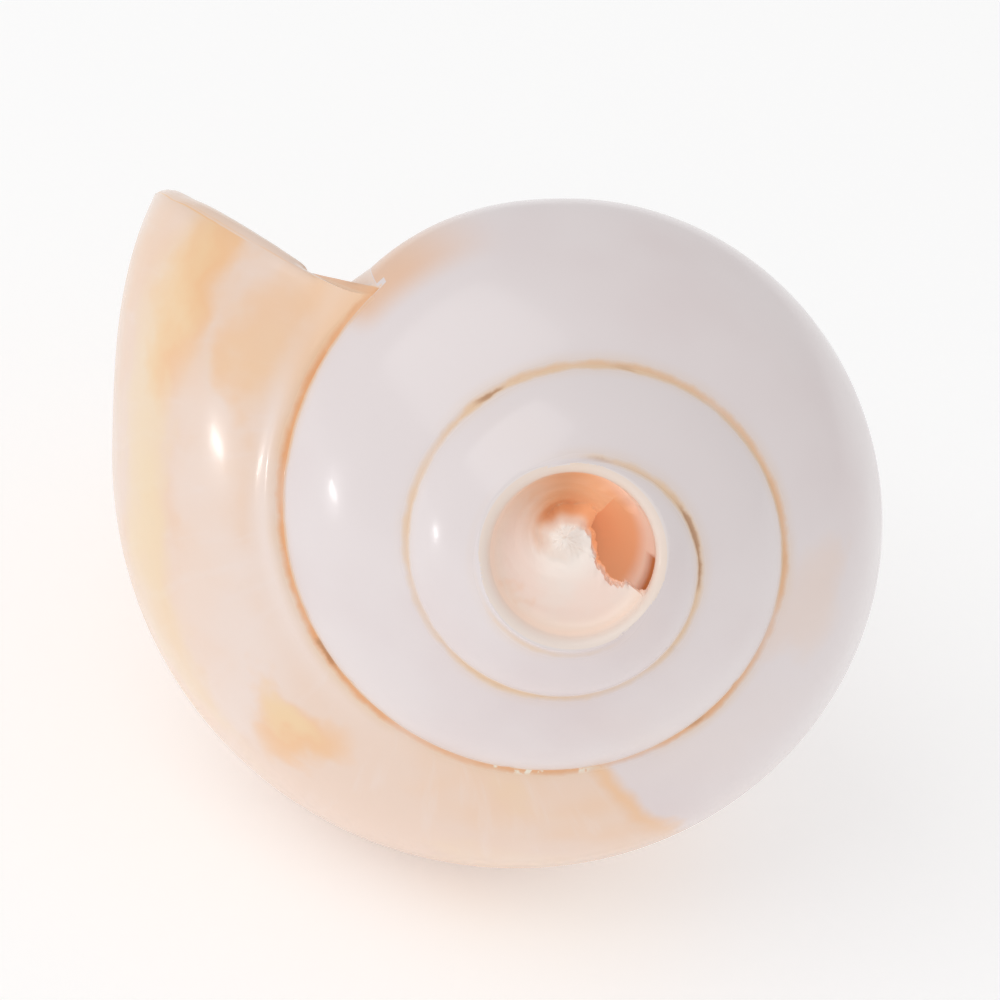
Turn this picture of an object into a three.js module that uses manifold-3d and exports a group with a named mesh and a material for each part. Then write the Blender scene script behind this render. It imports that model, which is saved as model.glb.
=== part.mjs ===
// A polished chank conch shell whose tip is cut off to make a blow hole. It lies on its back.
// The shell is one solid: a tapering tube that coils to the right, with a hollow inside that
// opens at the mouth and, through the cut tip, at the blow hole.
import * as THREE from 'three';
import Module from 'manifold-3d';

const wasm = await Module();
wasm.setup();

const { clamp, degToRad, lerp, smoothstep } = THREE.MathUtils;
const point = (x, y) => new THREE.Vector2(x, y);

// Coil. Lengths in millimetres, angles in degrees. The coil axis is Z with the tip upward, and a
// growth angle is zero where the lip meets the seam and negative further back along the coil.
const SEAM_RADIUS = 26.3;
const TURN_GROWTH = 1.735;
const SPIRE_SLOPE = 0.85;
const LIP_AZIMUTH = 128;
const TURNS = 3.5;
const STEPS_PER_TURN = 30;

// Section of a whorl, as multiples of the seam radius at its growth angle. Directions are degrees
// below the horizontal, and a handle is the length of a curve's tangent arm.
const SEAM = point(1, -SPIRE_SLOPE);
const SEAM_DIRECTION = 26;
const SEAM_HANDLE = 0.42;
const SPIRE_DIRECTION = 62;
const BODY_DIRECTION = 74;
const SHOULDER_HANDLE = 0.4;
const FLANK_HANDLE = 0.62;
const NECK = point(0.84, -3.2);
const NECK_DIRECTION = 119;
const NECK_FLANK_HANDLE = 0.7;
const NECK_CANAL_HANDLE = 0.45;
const CANAL_END = point(0.43, -4.3);
const CANAL_DIRECTION = 96;
const CANAL_LENGTH = 4.2;
const TIP_DROP = 0.16;
const SECTION_STEPS = [6, 8, 4, 3];

// Last whorl, which swells and narrows as it grows and flares at the lip.
const BODY_RADIUS = 1.597;
const BODY_WAVE = 0.086;
const BODY_WAVE_PEAK = -125;
const BODY_WAVE_LENGTH = 240;
const BODY_DEPTH = 0.98;
const LIP_FLARE = 0.105;

// Growth angles between which the last whorl takes over from the form of the spire.
const GIRTH_CHANGE = [-360, -320];
const DEPTH_CHANGE = [-360, -250];
const DIRECTION_CHANGE = [-360, -280];
const CANAL_CHANGE = [-330, -200];
const FLARE_CHANGE = [-50, -15];
const THINNING_CHANGE = [-40, 0];

// Lip. The edge trails behind the seam, most of all at the notch of the canal.
const LIP_LAG = 16;
const LAG_BEND = 0.42;
const NOTCH_LAG = 14;
const NOTCH_SPAN = [0.8, 2.6];
const LAG_CHANGE = [-120, 0];
const EDGE_RINGS = 2;
const EDGE_BULGE = 1.6;
const LIP_ROUNDING = [0, 0.8];
const AXIS_ROUNDING = [0.3, 0.8];

// Hollow. The wall is thinner in the young turns and at the lip.
const WALL_BASE = 0.9;
const WALL_GROWTH = 2.6;
const LIP_THINNING = 0.45;
const HOLLOW_START = -1000;
const HOLLOW_TOP = 0.24;
const HOLLOW_END = 2.85;
const HOLLOW_OUTER_STEPS = 13;
const CANAL_STEPS = 4;
const SEAM_STEPS = 5;
const SEAM_LAG_SPAN = [0.5, 1];
const STATION_TOLERANCE = 1e-9;
const CALLUS = 0.035;
const COLUMELLA_TIP = 0.13;
const COLUMELLA_SWELL = 0.26;
const FOLD_TOP = -2.2;
const FOLD_PITCH = 0.27;
const FOLD_COUNT = 3;
const FOLD_HEIGHT = 0.05;
const FOLD_END = FOLD_TOP - FOLD_PITCH * FOLD_COUNT;

// Blow hole, in its own frame: Z out along the hole, X to the right and Y upward as seen from there.
const HOLE_CENTRE = new THREE.Vector3(-0.3, 1.34, -6.6);
const HOLE_NORMAL = new THREE.Vector3(-0.055, 0.142, 0.988).normalize();
const HOLE_RADIUS = 7;
const RIM_WIDTH = 0.9;
const RIM_HEIGHT = 0.9;
const KNOB = point(-0.7, 1.3);
const KNOB_RADIUS = 1.3;
const KNOB_DEPTH = 2.4;
const SHELF_DEPTH = 2.2;
const SHELF_EDGE = -36;
const CLIFF_WIDTH = 8;
const KNOB_TOP_SHARE = 0.6;
const KNOB_FOOT_SHARE = 1.2;
const FLOOR_RINGS = [{ share: 0.65, rise: 0 }, { share: 0.9, rise: 0.3 }, { share: 1, rise: 1 }];
const RAMP_DROP = 8.5;
const RAMP_BEND = 1.8;
const WALL_TAPER = 0.07;
const HOLE_STEP = 15;
const RIM_STEPS = 3;
const CLEARANCE = 16;

// Rest: how the coil frame is turned to lie on the ground.
const REST_PITCH = 68.11;
const REST_ROLL = 8.39;

const SEAM_ROW = 0;
const SHOULDER_ROW = SECTION_STEPS[0];
const LAST_ROW = SECTION_STEPS.reduce((sum, steps) => sum + steps, 0);
const LIP_COLUMN = Math.round(TURNS * STEPS_PER_TURN);
const MOUTH_COLUMN = LIP_COLUMN - STEPS_PER_TURN;

const growthAngle = (column) => (column - LIP_COLUMN) * 360 / STEPS_PER_TURN;
const seamRadius = (angle) => SEAM_RADIUS * TURN_GROWTH ** (angle / 360);
const downward = (degrees, length) => {
  const turn = degToRad(degrees);
  return point(Math.cos(turn) * length, -Math.sin(turn) * length);
};

/** End of the shoulder: on the next seam in the spire, and on the widest girth in the last whorl. */
function shoulderEnd(angle) {
  const wave = BODY_WAVE * Math.cos(degToRad((angle - BODY_WAVE_PEAK) * 360 / BODY_WAVE_LENGTH));
  const body = BODY_RADIUS + wave + LIP_FLARE * smoothstep(angle, ...FLARE_CHANGE);
  const radius = lerp(TURN_GROWTH, body, smoothstep(angle, ...GIRTH_CHANGE));
  const spireDepth = SPIRE_SLOPE * TURN_GROWTH;
  const depth = lerp(spireDepth, BODY_DEPTH * radius, smoothstep(angle, ...DEPTH_CHANGE));
  return point(radius, -depth);
}

/** End of the canal, which lies at one depth all round the last half turn. */
function canalEnd(angle) {
  const level = CANAL_LENGTH / TURN_GROWTH ** (angle / 360);
  return point(CANAL_END.x, lerp(CANAL_END.y, -level, smoothstep(angle, ...CANAL_CHANGE)));
}

/** The four curves of a whorl's section: shoulder, flank, canal and rounded tip. */
function sectionCurves(angle) {
  const end = shoulderEnd(angle);
  const span = end.distanceTo(SEAM);
  const direction = lerp(SPIRE_DIRECTION, BODY_DIRECTION, smoothstep(angle, ...DIRECTION_CHANGE));
  const canal = canalEnd(angle);
  const tip = new THREE.EllipseCurve(0, canal.y, canal.x, TIP_DROP, 0, -Math.PI / 2, true);
  return [
    new THREE.CubicBezierCurve(
      SEAM, SEAM.clone().add(downward(SEAM_DIRECTION, SEAM_HANDLE * span)),
      end.clone().sub(downward(direction, SHOULDER_HANDLE * span)), end),
    new THREE.CubicBezierCurve(
      end, end.clone().add(downward(direction, FLANK_HANDLE)),
      NECK.clone().sub(downward(NECK_DIRECTION, NECK_FLANK_HANDLE)), NECK),
    new THREE.CubicBezierCurve(
      NECK, NECK.clone().add(downward(NECK_DIRECTION, NECK_CANAL_HANDLE)),
      canal.clone().sub(downward(CANAL_DIRECTION, NECK_CANAL_HANDLE)), canal),
    tip,
  ];
}

/** Point of a section at a station: the whole part picks the curve, the fraction the place on it. */
function sectionPoint(curves, station) {
  const index = Math.min(Math.floor(station), curves.length - 1);
  return curves[index].getPoint(station - index);
}

/** Stations of the rows from the seam down to the tip. */
const rowStations = [0];
SECTION_STEPS.forEach((steps, curve) => {
  for (let step = 1; step <= steps; step += 1) rowStations.push(curve + step / steps);
});

/** How far the growing edge trails behind its seam at a station of the section. */
function edgeLag(station) {
  return LIP_LAG * station ** LAG_BEND + NOTCH_LAG * smoothstep(station, ...NOTCH_SPAN);
}

/** Place a section point on the coil, sheared near the lip by its lag. */
function onCoil(angle, sectionAt, lag) {
  const sheared = angle - lag * smoothstep(angle, ...LAG_CHANGE);
  const section = sectionAt(sheared);
  const scale = seamRadius(sheared);
  const azimuth = degToRad(LIP_AZIMUTH - sheared);
  return new THREE.Vector3(
    section.x * scale * Math.cos(azimuth), section.x * scale * Math.sin(azimuth), section.y * scale);
}

/** A closed mesh in the making: a list of points and of triangles on them. */
class MeshBuilder {
  constructor() {
    this.points = [];
    this.triangles = [];
  }

  add(position) {
    this.points.push(position);
    return this.points.length - 1;
  }

  triangle(a, b, c) {
    this.triangles.push(a, b, c);
  }

  quad(a, b, c, d) {
    this.triangle(a, b, d);
    this.triangle(b, c, d);
  }

  /** Join two strings of points of equal length, the second on the left of the first. */
  band(first, second) {
    for (let n = 0; n + 1 < first.length; n += 1) {
      this.quad(first[n], first[n + 1], second[n + 1], second[n]);
    }
  }

  fan(loop, centre) {
    for (let n = 0; n + 1 < loop.length; n += 1) this.triangle(loop[n], loop[n + 1], centre);
  }

  solid() {
    const vertProperties = new Float32Array(this.points.flatMap((p) => p.toArray()));
    const triVerts = new Uint32Array(this.triangles);
    return new wasm.Manifold(new wasm.Mesh({ numProp: 3, vertProperties, triVerts }));
  }
}

/** Outer surface from the first turn to the lip. Returns its columns of point numbers. */
function addOuterSurface(mesh) {
  const columns = [];
  for (let column = LIP_COLUMN; column >= 0; column -= 1) {
    const angle = growthAngle(column);
    const inSpire = column <= MOUTH_COLUMN;
    const lastRow = column < MOUTH_COLUMN ? SHOULDER_ROW : LAST_ROW;
    columns[column] = rowStations.slice(0, lastRow + 1).map((station, row) => {
      if (inSpire && row === SHOULDER_ROW) return columns[column + STEPS_PER_TURN][SEAM_ROW];
      return mesh.add(onCoil(angle, (a) => sectionPoint(sectionCurves(a), station), edgeLag(station)));
    });
  }
  for (let column = 0; column < LIP_COLUMN; column += 1) {
    const rows = Math.min(columns[column].length, columns[column + 1].length);
    mesh.band(columns[column + 1].slice(0, rows), columns[column].slice(0, rows));
  }
  const firstTurn = columns.slice(0, STEPS_PER_TURN + 1).map((column) => column[SEAM_ROW]);
  const start = columns[0].slice(0, SHOULDER_ROW + 1);
  const tip = mesh.add(new THREE.Vector3(0, 0, 0));
  mesh.fan(firstTurn.reverse(), tip);
  mesh.fan(start, tip);
  return columns;
}

/** Radius of the turn before, at a depth, in units of the present turn. */
const spireCurves = sectionCurves(-360);
function previousTurnRadius(depth) {
  const target = depth * TURN_GROWTH;
  let low = 1;
  let high = spireCurves.length;
  if (sectionPoint(spireCurves, high).y >= target) return 0;
  while (high - low > STATION_TOLERANCE) {
    const middle = (low + high) / 2;
    if (sectionPoint(spireCurves, middle).y > target) low = middle;
    else high = middle;
  }
  return sectionPoint(spireCurves, low).x / TURN_GROWTH;
}

/** Radius of the pillar's side of the hollow, with its spiral folds. */
function pillarRadius(depth) {
  const inFolds = depth < FOLD_TOP && depth > FOLD_END;
  const wave = 0.5 - 0.5 * Math.cos((FOLD_TOP - depth) / FOLD_PITCH * 2 * Math.PI);
  const pillar = COLUMELLA_TIP + COLUMELLA_SWELL * smoothstep(depth, CANAL_END.y, FOLD_TOP);
  return Math.max(pillar + (inFolds ? FOLD_HEIGHT * wave : 0), previousTurnRadius(depth) + CALLUS);
}

/** Places up the pillar's side, each a share of the way between two depths, from canal to seam. */
function pillarStations() {
  const stations = [];
  for (let step = 0; step < CANAL_STEPS; step += 1) {
    stations.push({ from: 'canal', share: step / CANAL_STEPS });
  }
  for (let half = 0; half <= 2 * FOLD_COUNT; half += 1) {
    stations.push({ from: 'folds', share: half / 2 / FOLD_COUNT });
  }
  for (let step = 1; step <= SEAM_STEPS; step += 1) {
    stations.push({ from: 'seam', share: step / SEAM_STEPS });
  }
  return stations;
}

/** Wall thickness at a growth angle, in units of the seam radius there. */
function wallThickness(angle) {
  const radius = seamRadius(angle);
  const thickness = WALL_BASE + WALL_GROWTH * radius / SEAM_RADIUS;
  return thickness * (1 - LIP_THINNING * smoothstep(angle, ...THINNING_CHANGE)) / radius;
}

/** Point of the hollow's outer side: the section moved inward by the wall. */
function insetPoint(angle, station) {
  const curves = sectionCurves(angle);
  const index = Math.min(Math.floor(station), curves.length - 1);
  const along = curves[index].getTangent(station - index);
  const inward = point(along.y, -along.x);
  return sectionPoint(curves, station).addScaledVector(inward, wallThickness(angle));
}

/** The loop of the hollow's section: down the outer wall, then up the pillar. */
function hollowLoop() {
  const loop = [];
  for (let step = 0; step <= HOLLOW_OUTER_STEPS; step += 1) {
    const station = lerp(HOLLOW_TOP, HOLLOW_END, step / HOLLOW_OUTER_STEPS);
    loop.push({ sectionAt: (angle) => insetPoint(angle, station), lag: edgeLag(station) });
  }
  const reach = {
    canal: (angle) => [insetPoint(angle, HOLLOW_END).y, FOLD_END],
    folds: () => [FOLD_END, FOLD_TOP],
    seam: (angle) => [FOLD_TOP, insetPoint(angle, HOLLOW_TOP).y],
  };
  const lagAt = {
    canal: (share) => edgeLag(HOLLOW_END) * (1 - share),
    folds: () => 0,
    seam: (share) => edgeLag(HOLLOW_TOP) * smoothstep(share, ...SEAM_LAG_SPAN),
  };
  pillarStations().forEach(({ from, share }) => {
    const sectionAt = (angle) => {
      const depth = lerp(...reach[from](angle), share);
      return point(pillarRadius(depth), depth);
    };
    loop.push({ sectionAt, lag: lagAt[from](share) });
  });
  return loop;
}

/** Inner surface, closed at its start. Returns the loop of point numbers at the lip. */
function addHollow(mesh) {
  const loop = hollowLoop();
  const startColumn = Math.round(LIP_COLUMN + HOLLOW_START * STEPS_PER_TURN / 360);
  let previous = null;
  for (let column = startColumn; column <= LIP_COLUMN; column += 1) {
    const angle = growthAngle(column);
    const ring = loop.map(({ sectionAt, lag }) => mesh.add(onCoil(angle, sectionAt, lag)));
    ring.push(ring[0]);
    if (previous) mesh.band(previous, ring);
    else {
      const middle = ring.reduce((sum, n) => sum.add(mesh.points[n]), new THREE.Vector3());
      mesh.fan([...ring].reverse(), mesh.add(middle.divideScalar(ring.length)));
    }
    previous = ring;
  }
  return previous;
}

/** The edge of the mouth: down the lip, along the axis to the turn before, and up its wall. */
function mouthLoop(columns) {
  const lip = columns[LIP_COLUMN].map((number, row) => {
    return { number, roundness: smoothstep(rowStations[row], ...LIP_ROUNDING) };
  });
  const axis = columns.slice(MOUTH_COLUMN, LIP_COLUMN).reverse().map((column, n, all) => {
    return { number: column[LAST_ROW], roundness: 1 - smoothstep(n / all.length, ...AXIS_ROUNDING) };
  });
  const wall = columns[MOUTH_COLUMN].slice(SHOULDER_ROW, LAST_ROW).reverse();
  return [...lip, ...axis, ...wall.map((number) => ({ number, roundness: 0 }))];
}

/** Share of the way around a mouth loop, by height: half on the way down, half on the way up. */
function heightShares(positions, top, bottom) {
  const heights = positions.map((position) => position.z);
  const lowest = heights.indexOf(Math.min(...heights));
  return heights.map((height, n) => {
    const drop = (top - height) / (top - bottom) / 2;
    return n <= lowest ? drop : 1 - drop;
  });
}

/** Point of a loop at a share of the way around it. */
function pointAtShare(positions, shares, share) {
  let n = 0;
  while (n + 2 < shares.length && shares[n + 1] < share) n += 1;
  const part = clamp((share - shares[n]) / (shares[n + 1] - shares[n]), 0, 1);
  return positions[n].clone().lerp(positions[n + 1], part || 0);
}

/** Triangles between two loops of unlike counts, matched by their shares. */
function zip(mesh, first, firstShares, second, secondShares) {
  let a = 0;
  let b = 0;
  while (a + 1 < first.length || b + 1 < second.length) {
    const nextFirst = a + 1 < first.length ? firstShares[a + 1] : Infinity;
    const nextSecond = b + 1 < second.length ? secondShares[b + 1] : Infinity;
    if (nextFirst <= nextSecond) {
      mesh.triangle(first[a + 1], first[a], second[b]);
      a += 1;
    } else {
      mesh.triangle(first[a], second[b], second[b + 1]);
      b += 1;
    }
  }
}

/** Rounded edge of the lip, the canal and the pillar, from the outer to the inner surface. */
function addMouthEdge(mesh, columns, hollowEdge) {
  const loop = mouthLoop(columns);
  const outer = loop.map(({ number }) => mesh.points[number]);
  const inner = hollowEdge.map((number) => mesh.points[number]);
  const top = Math.max(...outer.map((position) => position.z));
  const bottom = Math.min(...outer.map((position) => position.z));
  const outerShares = heightShares(outer, top, bottom);
  const innerShares = heightShares(inner, top, bottom);
  const azimuth = degToRad(LIP_AZIMUTH);
  const forward = new THREE.Vector3(Math.sin(azimuth), -Math.cos(azimuth), 0);
  let edge = loop.map(({ number }) => number);
  for (let ring = 1; ring <= EDGE_RINGS; ring += 1) {
    const turn = Math.PI * ring / (EDGE_RINGS + 1);
    const next = loop.slice(0, -1).map(({ roundness }, n) => {
      const facing = pointAtShare(inner, innerShares, outerShares[n]);
      const bulge = Math.min(outer[n].distanceTo(facing) / 2, EDGE_BULGE) * roundness * Math.sin(turn);
      const across = outer[n].clone().lerp(facing, (1 - Math.cos(turn)) / 2);
      return mesh.add(across.addScaledVector(forward, bulge));
    });
    next.push(next[0]);
    mesh.band(next, edge);
    edge = next;
  }
  zip(mesh, edge, outerShares, hollowEdge, innerShares);
}

/** Solid that cuts off the tip, rounds the rim and leaves the broken pillar and ramp in the hole. */
function blowHoleTool() {
  const mesh = new MeshBuilder();
  const turns = [];
  for (let turn = 0; turn < 360; turn += HOLE_STEP) turns.push(turn);
  turns.push(360 - CLIFF_WIDTH);
  const rampDepth = (turn) => SHELF_DEPTH + RAMP_DROP * (turn / 360) ** RAMP_BEND;
  const reach = (across, radius) => {
    const along = KNOB.dot(across);
    return Math.sqrt(along * along - KNOB.lengthSq() + radius * radius) - along;
  };
  const ringAt = (distanceAt, heightAt) => {
    const ring = turns.map((turn) => {
      const azimuth = degToRad(SHELF_EDGE - turn);
      const across = point(Math.cos(azimuth), Math.sin(azimuth));
      const place = KNOB.clone().addScaledVector(across, distanceAt(across, turn));
      return mesh.add(new THREE.Vector3(place.x, place.y, heightAt(turn)));
    });
    return [...ring, ring[0]];
  };
  const footRadius = (turn) => HOLE_RADIUS - WALL_TAPER * rampDepth(turn);
  const rings = [
    ringAt(() => KNOB_RADIUS * KNOB_TOP_SHARE, () => -KNOB_DEPTH),
    ringAt(() => KNOB_RADIUS * KNOB_FOOT_SHARE, (turn) => -Math.max(rampDepth(turn), KNOB_DEPTH)),
  ];
  FLOOR_RINGS.forEach(({ share, rise }) => {
    rings.push(ringAt(
      (across, turn) => reach(across, footRadius(turn) * share), (turn) => rise - rampDepth(turn)));
  });
  for (let step = 0; step <= RIM_STEPS; step += 1) {
    const turn = Math.PI / 2 * step / RIM_STEPS;
    const radius = HOLE_RADIUS + RIM_WIDTH * (1 - Math.cos(turn));
    rings.push(ringAt((across) => reach(across, radius), () => RIM_HEIGHT * (Math.sin(turn) - 1)));
  }
  rings.push(ringAt((across) => reach(across, CLEARANCE), () => 0));
  rings.push(ringAt((across) => reach(across, CLEARANCE), () => CLEARANCE));
  for (let n = 0; n + 1 < rings.length; n += 1) mesh.band(rings[n + 1], rings[n]);
  const knobTop = mesh.add(new THREE.Vector3(KNOB.x, KNOB.y, -KNOB_DEPTH));
  const cover = mesh.add(new THREE.Vector3(0, 0, CLEARANCE));
  mesh.fan(rings[0], knobTop);
  mesh.fan([...rings[rings.length - 1]].reverse(), cover);
  const right = new THREE.Vector3(1, 0, 0).projectOnPlane(HOLE_NORMAL).normalize();
  const up = HOLE_NORMAL.clone().cross(right);
  const toCoil = new THREE.Matrix4().makeBasis(right, up, HOLE_NORMAL).setPosition(HOLE_CENTRE);
  mesh.points.forEach((position) => position.applyMatrix4(toCoil));
  return mesh.solid();
}

/** The whole shell in the coil frame. */
function shellGeometry() {
  const mesh = new MeshBuilder();
  const columns = addOuterSurface(mesh);
  const hollowEdge = addHollow(mesh);
  addMouthEdge(mesh, columns, hollowEdge);
  const { vertProperties, triVerts } = mesh.solid().subtract(blowHoleTool()).getMesh();
  const geometry = new THREE.BufferGeometry();
  geometry.setAttribute('position', new THREE.BufferAttribute(vertProperties, 3));
  geometry.setIndex(new THREE.BufferAttribute(triVerts, 1));
  geometry.computeVertexNormals();
  return geometry;
}

const polishedShell = new THREE.MeshStandardMaterial({ color: 0xefe2da, roughness: 0.25, metalness: 0 });
const shell = new THREE.Mesh(shellGeometry(), polishedShell);
shell.name = 'shell';
shell.rotation.set(degToRad(REST_PITCH), 0, degToRad(REST_ROLL));

const bounds = new THREE.Box3().setFromObject(shell, true);
const middle = bounds.getCenter(new THREE.Vector3());
shell.position.set(-middle.x, -middle.y, -bounds.min.z);

const conch = new THREE.Group();
conch.add(shell);

export default conch;
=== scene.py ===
"""Looks of a polished conch shell with a cut tip, lying on its back on a pale floor.

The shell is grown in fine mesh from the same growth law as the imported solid: one section turns
about the coil axis and gets larger by the same factor each turn. Coil sizes are in millimetres.
"""
import logging
import math
from dataclasses import dataclass, field
from enum import Enum

import bpy
import numpy as np
from mathutils import Matrix, Vector
from mathutils.kdtree import KDTree


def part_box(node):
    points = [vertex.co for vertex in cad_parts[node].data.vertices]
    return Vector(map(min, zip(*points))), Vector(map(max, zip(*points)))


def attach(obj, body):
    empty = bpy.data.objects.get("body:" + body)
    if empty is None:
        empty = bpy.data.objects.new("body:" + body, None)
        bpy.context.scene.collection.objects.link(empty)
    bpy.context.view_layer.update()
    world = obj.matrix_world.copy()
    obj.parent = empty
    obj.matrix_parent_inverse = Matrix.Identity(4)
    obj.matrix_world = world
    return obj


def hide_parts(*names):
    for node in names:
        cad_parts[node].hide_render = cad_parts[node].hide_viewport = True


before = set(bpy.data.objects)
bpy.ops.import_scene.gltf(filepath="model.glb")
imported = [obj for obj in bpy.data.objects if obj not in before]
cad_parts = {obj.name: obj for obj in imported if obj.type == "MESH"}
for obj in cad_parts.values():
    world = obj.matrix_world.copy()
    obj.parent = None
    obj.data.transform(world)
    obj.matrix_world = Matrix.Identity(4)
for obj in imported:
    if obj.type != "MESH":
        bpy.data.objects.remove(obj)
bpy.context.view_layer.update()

MILLIMETRE = 0.001
LOG = logging.getLogger("conch")

Array = np.ndarray
Socket = bpy.types.NodeSocket
Colour = tuple[float, float, float, float]


class Layer(Enum):
    """Named values that the mesh carries for its finish."""

    AGE = "age"
    STATION = "station"
    SEAM = "seam_distance"
    INSIDE = "inside"
    CUT = "cut"
    HOLE = "hole_place"


def smoothstep(value: Array | float, low: float, high: float) -> Array:
    """Ease from 0 at low to 1 at high.

    Args:
        value: Where to read the step.
        low: Value at which the step starts.
        high: Value at which the step ends.

    Returns:
        The eased share, from 0 to 1.
    """
    share = np.clip((np.asarray(value, float) - low) / (high - low), 0.0, 1.0)
    return share * share * (3.0 - 2.0 * share)


def lerp(start: Array | float, end: Array | float, share: Array | float) -> Array:
    """Mix two values by a share."""
    return start + (end - start) * share


def bezier(points: tuple[Array, Array, Array, Array], share: Array) -> Array:
    """Point of a cubic curve.

    Args:
        points: Two ends and two handles, as complex numbers.
        share: Share of the way along the curve.

    Returns:
        The points, as complex numbers.
    """
    rest = 1.0 - share
    first, second, third, last = points
    return (rest ** 3 * first + 3 * rest ** 2 * share * second
            + 3 * rest * share ** 2 * third + share ** 3 * last)


def downward(degrees: Array | float, length: Array | float) -> Array:
    """Step of a length at an angle below the horizontal, as a complex number."""
    return length * np.exp(-1j * np.radians(degrees))


def ripple(value: Array, seed: int, waves: int = 7, slowest: float = 1.0) -> Array:
    """Smooth random curve made of sines.

    Args:
        value: Where to read the curve, in turns of its slowest wave.
        seed: Number that fixes the curve.
        waves: How many sines are summed.
        slowest: Cycles of the slowest sine per unit.

    Returns:
        Values about 0, mostly between -1 and 1.
    """
    draw = np.random.default_rng(seed)
    total = np.zeros_like(np.asarray(value, float))
    for wave in range(1, waves + 1):
        phase = draw.uniform(0.0, 2.0 * math.pi)
        pace = slowest * wave * draw.uniform(0.8, 1.2)
        total = total + np.sin(2.0 * math.pi * pace * value + phase) / wave ** 0.5
    return total / waves ** 0.5


@dataclass(frozen=True)
class GrowthLaw:
    """How the coil grows: radius, direction and the slant of the growing edge."""

    seam_radius: float = 26.3
    turn_growth: float = 1.735
    spire_slope: float = 0.85
    lip_azimuth: float = 128.0
    lip_lag: float = 16.0
    lag_bend: float = 0.42
    notch_lag: float = 14.0
    notch_span: tuple[float, float] = (0.8, 2.6)
    lag_change: tuple[float, float] = (-120.0, 0.0)

    def scale(self, angle: Array | float) -> Array:
        """Seam radius at a growth angle."""
        return self.seam_radius * self.turn_growth ** (np.asarray(angle, float) / 360.0)

    def lag(self, station: Array | float) -> Array:
        """Angle by which the growing edge trails its seam at a station."""
        station = np.asarray(station, float)
        notch = self.notch_lag * smoothstep(station, *self.notch_span)
        return self.lip_lag * station ** self.lag_bend + notch

    def shear(self, angle: Array, lag: Array) -> Array:
        """Growth angle after the slant of the lip."""
        return angle - lag * smoothstep(angle, *self.lag_change)

    def place(self, sheared: Array, section: Array) -> Array:
        """Set section points on the coil.

        Args:
            sheared: Growth angles after the slant of the lip.
            section: Section points as complex numbers, in units of the seam radius.

        Returns:
            Points in the coil frame, with a last axis of three.
        """
        scale = self.scale(sheared)
        azimuth = np.radians(self.lip_azimuth - sheared)
        across = section.real * scale
        return np.stack([across * np.cos(azimuth), across * np.sin(azimuth), section.imag * scale], axis=-1)


@dataclass(frozen=True)
class WhorlSection:
    """Section of a whorl: shoulder, flank, canal and rounded tip, one station apart."""

    law: GrowthLaw = GrowthLaw()
    seam_direction: float = 26.0
    seam_handle: float = 0.42
    spire_direction: float = 62.0
    body_direction: float = 74.0
    shoulder_handle: float = 0.4
    flank_handle: float = 0.62
    neck: complex = 0.84 - 3.2j
    neck_direction: float = 119.0
    neck_flank_handle: float = 0.7
    neck_canal_handle: float = 0.45
    canal_radius: float = 0.43
    canal_depth: float = 4.3
    canal_direction: float = 96.0
    canal_length: float = 4.2
    tip_drop: float = 0.16
    body_radius: float = 1.597
    body_wave: float = 0.086
    body_wave_peak: float = -125.0
    body_wave_length: float = 240.0
    body_depth: float = 0.98
    lip_flare: float = 0.105
    girth_change: tuple[float, float] = (-360.0, -320.0)
    depth_change: tuple[float, float] = (-360.0, -250.0)
    direction_change: tuple[float, float] = (-360.0, -280.0)
    canal_change: tuple[float, float] = (-330.0, -200.0)
    flare_change: tuple[float, float] = (-50.0, -15.0)

    def shoulder_end(self, angle: Array) -> Array:
        """Foot of the shoulder: on the next seam in the spire, on the girth in the last whorl."""
        phase = np.radians((angle - self.body_wave_peak) * 360.0 / self.body_wave_length)
        body = self.body_radius + self.body_wave * np.cos(phase)
        body = body + self.lip_flare * smoothstep(angle, *self.flare_change)
        growth = self.law.turn_growth
        radius = lerp(growth, body, smoothstep(angle, *self.girth_change))
        depth = lerp(self.law.spire_slope * growth, self.body_depth * radius,
                     smoothstep(angle, *self.depth_change))
        return radius - 1j * depth

    def point(self, angle: Array | float, station: Array | float) -> Array:
        """Section points.

        Args:
            angle: Growth angles.
            station: Stations, from 0 at the seam to 4 at the end of the tip.

        Returns:
            Complex points in units of the seam radius.
        """
        angle, station = np.broadcast_arrays(np.asarray(angle, float), np.asarray(station, float))
        seam = 1.0 - 1j * self.law.spire_slope
        end = self.shoulder_end(angle)
        span = np.abs(end - seam)
        change = smoothstep(angle, *self.direction_change)
        direction = lerp(self.spire_direction, self.body_direction, change)
        level = self.canal_length / self.law.turn_growth ** (angle / 360.0)
        depth = lerp(self.canal_depth, level, smoothstep(angle, *self.canal_change))
        canal = self.canal_radius - 1j * depth
        neck = np.full_like(end, self.neck)
        shoulder = (np.full_like(end, seam), seam + downward(self.seam_direction, self.seam_handle * span),
                    end - downward(direction, self.shoulder_handle * span), end)
        flank = (end, end + downward(direction, self.flank_handle),
                 neck - downward(self.neck_direction, self.neck_flank_handle), neck)
        stem = (neck, neck + downward(self.neck_direction, self.neck_canal_handle),
                canal - downward(self.canal_direction, self.neck_canal_handle), canal)
        turn = np.clip(station - 3.0, 0.0, 1.0) * math.pi / 2.0
        tip = self.canal_radius * np.cos(turn) - 1j * (depth + self.tip_drop * np.sin(turn))
        pieces = [bezier(curve, np.clip(station - start, 0.0, 1.0))
                  for start, curve in enumerate((shoulder, flank, stem))]
        return np.select([station < 1.0, station < 2.0, station < 3.0], pieces, tip)

    def inward(self, angle: Array, station: Array) -> Array:
        """Unit step into the shell from the section, as a complex number."""
        step = 1e-4
        along = self.point(angle, station + step) - self.point(angle, np.maximum(station - step, 0.0))
        return -1j * along / np.abs(along)


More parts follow.
